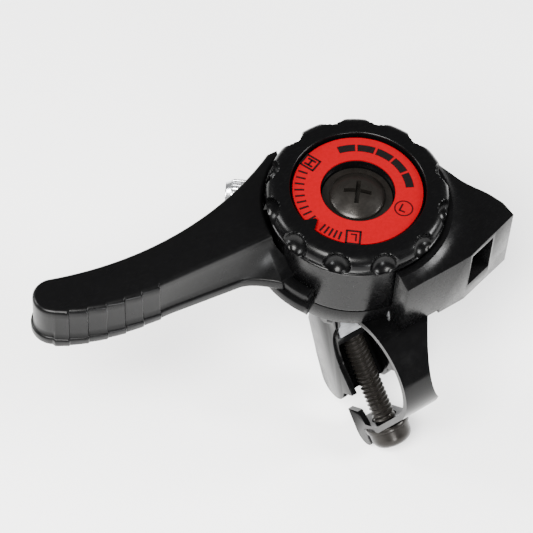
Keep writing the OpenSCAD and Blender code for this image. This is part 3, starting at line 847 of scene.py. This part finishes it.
def placeOnDial(bm, radius, azimuth, spin=0.0):
    faceTurn = Matrix.Rotation(math.radians(azimuth + spin), 3, "Z")
    bmesh.ops.rotate(bm, verts=bm.verts, cent=(0, 0, 0), matrix=faceTurn)
    a = math.radians(azimuth)
    shift = Vector((headX + radius * math.cos(a), headY + radius * math.sin(a),
                    dialZ + dial["rise"] - dial["thick"]))
    bmesh.ops.translate(bm, verts=bm.verts, vec=shift * mm)


def flatPrism(bm, outline, thick):
    stackLoops(bm, [[(x, y, z) for x, y in outline] for z in (0.0, thick)])


def frameShape(bm, wide, tall, line):
    # a rectangular outline made of four bars
    barLetter(bm, [(0, tall / 2, wide + line, line), (0, -tall / 2, wide + line, line),
                   (wide / 2, 0, line, tall), (-wide / 2, 0, line, tall)])


def barLetter(bm, bars):
    for x, y, w, h in bars:
        makeBlock(bm, x - w / 2, x + w / 2, y - h / 2, y + h / 2, 0.0, dial["thick"])


def ringShape(bm, outer, line, steps=40):
    lathe(bm, [(outer - line, 0.0), (outer, 0.0), (outer, dial["thick"]),
               (outer - line, dial["thick"])], steps)


def letterH(bm, size):
    w, h = size * 0.75, size
    barLetter(bm, [(-w / 2, 0, size * 0.24, h), (w / 2, 0, size * 0.24, h), (0, 0, w, size * 0.22)])


def letterL(bm, size):
    w, h = size * 0.62, size
    barLetter(bm, [(-w / 2, 0, size * 0.18, h), (0.0, -h / 2 + size * 0.09, w, size * 0.18)])


def tickField(name, count, start, end):
    # Geometry Nodes: one bar per angle, spread evenly between two azimuths
    tree = bpy.data.node_groups.new(name, "GeometryNodeTree")
    face = tree.interface
    face.new_socket(name="Geometry", in_out="OUTPUT", socket_type="NodeSocketGeometry")
    sockets = {}
    for label, kind, value in (("Count", "NodeSocketInt", count),
                               ("Start", "NodeSocketFloat", math.radians(start)),
                               ("End", "NodeSocketFloat", math.radians(end)),
                               ("Inner", "NodeSocketFloat", dial["tickIn"] * mm),
                               ("Outer", "NodeSocketFloat", dial["tickOut"] * mm),
                               ("Width", "NodeSocketFloat", dial["tickWidth"] * mm),
                               ("Thick", "NodeSocketFloat", dial["thick"] * mm),
                               ("Ink", "NodeSocketMaterial", materials["blackInk"])):
        socket = face.new_socket(name=label, in_out="INPUT", socket_type=kind)
        sockets[label] = (socket.identifier, value)
    make = tree.nodes.new
    link = tree.links.new
    given = make("NodeGroupInput")
    out = make("NodeGroupOutput")

    def calc(operation, a, b):
        node = make("ShaderNodeMath")
        node.operation = operation
        for i, value in enumerate((a, b)):
            if isinstance(value, (int, float)):
                node.inputs[i].default_value = value
            else:
                link(value, node.inputs[i])
        return node.outputs[0]

    length = calc("SUBTRACT", given.outputs["Outer"], given.outputs["Inner"])
    middle = calc("MULTIPLY", calc("ADD", given.outputs["Outer"], given.outputs["Inner"]), 0.5)
    size = make("ShaderNodeCombineXYZ")
    link(length, size.inputs["X"])
    link(given.outputs["Width"], size.inputs["Y"])
    link(given.outputs["Thick"], size.inputs["Z"])
    bar = make("GeometryNodeMeshCube")
    link(size.outputs[0], bar.inputs["Size"])
    line = make("GeometryNodeMeshLine")
    link(given.outputs["Count"], line.inputs["Count"])
    index = make("GeometryNodeInputIndex")
    share = calc("DIVIDE", index.outputs[0],
                 calc("MAXIMUM", calc("SUBTRACT", given.outputs["Count"], 1.0), 1.0))
    angle = calc("ADD", given.outputs["Start"],
                 calc("MULTIPLY", share, calc("SUBTRACT", given.outputs["End"], given.outputs["Start"])))
    place = make("ShaderNodeCombineXYZ")
    link(calc("MULTIPLY", middle, calc("COSINE", angle, 0.0)), place.inputs["X"])
    link(calc("MULTIPLY", middle, calc("SINE", angle, 0.0)), place.inputs["Y"])
    setPlace = make("GeometryNodeSetPosition")
    link(line.outputs["Mesh"], setPlace.inputs["Geometry"])
    link(place.outputs[0], setPlace.inputs["Position"])
    spin = make("ShaderNodeCombineXYZ")
    link(angle, spin.inputs["Z"])
    copies = make("GeometryNodeInstanceOnPoints")
    link(setPlace.outputs["Geometry"], copies.inputs["Points"])
    link(bar.outputs["Mesh"], copies.inputs["Instance"])
    link(spin.outputs[0], copies.inputs["Rotation"])
    real = make("GeometryNodeRealizeInstances")
    link(copies.outputs[0], real.inputs[0])
    paint = make("GeometryNodeSetMaterial")
    link(real.outputs[0], paint.inputs["Geometry"])
    link(given.outputs["Ink"], paint.inputs["Material"])
    link(paint.outputs[0], out.inputs[0])
    return tree, sockets


def growNodes(name, tree, sockets):
    # runs a Geometry Nodes tree and keeps its result as a plain mesh
    carrier = bpy.data.objects.new(name, bpy.data.meshes.new(name))
    bpy.context.scene.collection.objects.link(carrier)
    modifier = carrier.modifiers.new("grow", "NODES")
    modifier.node_group = tree
    for identifier, value in sockets.values():
        modifier[identifier] = value
    return applyModifiers(carrier)


def makeTicks(name, count, start, end):
    piece = growNodes(name, *tickField(name + "Tree", count, start, end))
    shift = Vector((headX, headY, dialZ + dial["rise"] - dial["thick"] / 2)) * mm
    piece.data.transform(Matrix.Translation(shift))
    settle(piece, "base", "black_plastic")


def makeMark(name, radius, azimuth, spin, build):
    bm = bmesh.new()
    build(bm)
    placeOnDial(bm, radius, azimuth, spin)
    settle(finishPiece(name, bm, "blackInk"), "base", "black_plastic")


def makeDialPrint():
    size = dial
    makeTicks("dialTicksHigh", size["ticksHigh"], size["highAz"] + size["gapHigh"],
              size["restAz"] - size["gapRest"][0])
    makeTicks("dialTicksLow", size["ticksLow"], size["restAz"] + size["gapRest"][1],
              size["lowAz"] - size["gapLow"])

    def boxedH(bm):
        frameShape(bm, size["boxTall"], size["boxWide"], size["boxLine"])
        letterH(bm, size["letterHigh"])

    def boxedL(bm):
        frameShape(bm, size["boxTall"], size["boxWide"], size["boxLine"])
        letterL(bm, size["letterLow"])

    def circledL(bm):
        ringShape(bm, size["leftRing"], size["leftLine"])
        letterL(bm, size["letterLeft"])

    makeMark("dialMarkHigh", size["boxR"], size["highAz"], -90.0, boxedH)
    makeMark("dialMarkLow", size["boxR"], size["lowAz"], -90.0, boxedL)
    makeMark("dialMarkLeft", size["leftR"], size["leftAz"], 0.0, circledL)
    bm = bmesh.new()
    span = (size["arcTo"] - size["arcFrom"]) / size["arcBlocks"]
    for block in range(size["arcBlocks"]):
        outer, inner = [], []
        for i in range(13):
            angle = math.radians(size["arcFrom"] + span * (block + 0.06 + 0.88 * i / 12))
            outer.append((size["arcOut"] * math.cos(angle), size["arcOut"] * math.sin(angle)))
            inner.append((size["arcIn"] * math.cos(angle), size["arcIn"] * math.sin(angle)))
        flatPrism(bm, list(reversed(outer)) + inner, size["thick"])
    bmesh.ops.translate(bm, verts=bm.verts,
                        vec=Vector((headX, headY, dialZ + size["rise"] - size["thick"])) * mm)
    settle(finishPiece("dialArcBlocks", bm, "blackInk"), "base", "black_plastic")


makeDialPrint()
print("dial print made")


barrelJoint = [j for j in frame["joints"] if j["name"] == "barrel_turn"][0]
barrel = {"radius": 3.5, "length": 7.2, "bore": 2.6, "boreDepth": 5.0,
          "cable": 0.9, "stem": 2.0, "stemLength": 4.8,
          "ridges": 22, "ridgeR": 0.34}


def makeBarrel():
    size = barrel
    core = size["radius"] - 0.28
    bm = bmesh.new()
    lathe(bm, roundedProfile([
        (size["cable"], -size["stemLength"], 0.1), (size["stem"], -size["stemLength"], 0.3),
        (size["stem"], 0.0, 0),
        (core, 0.0, 0.4), (core, size["length"] - 1.2, 0.1), (core - 0.7, size["length"], 0.3),
        (size["bore"], size["length"], 0.15), (size["bore"], size["length"] - size["boreDepth"], 0),
        (size["cable"], size["length"] - size["boreDepth"], 0)]), 66)
    for i in range(size["ridges"]):
        a = 2 * math.pi * i / size["ridges"]
        outline = [(core + size["ridgeR"] * 0.78 * math.cos(b) - 0.02, size["ridgeR"] * math.sin(b)) for b in
                   [math.radians(-100 + 200 * k / 6) for k in range(7)]]
        loops = []
        for z, share in ((0.35, 0.3), (0.7, 1.0), (size["length"] - 1.7, 1.0), (size["length"] - 1.25, 0.3)):
            loop = []
            for x, y in outline:
                x = core - 0.1 + (x - core + 0.1) * share
                loop.append((x * math.cos(a) - y * math.sin(a), x * math.sin(a) + y * math.cos(a), z))
            loops.append(loop)
        stackLoops(bm, loops)
    axis = Vector(barrelJoint["axis"]).normalized()
    bmesh.ops.rotate(bm, verts=bm.verts, cent=(0, 0, 0), matrix=axis.to_track_quat("Z", "Y").to_matrix())
    bmesh.ops.translate(bm, verts=bm.verts, vec=Vector(barrelJoint["pos_m"]))
    piece = finishPiece("barrelKnurled", bm, "brightAlloy", 35.0)
    settle(piece, "barrel", "bright_alloy", "barrel_adjuster")


makeBarrel()
print("barrel made")
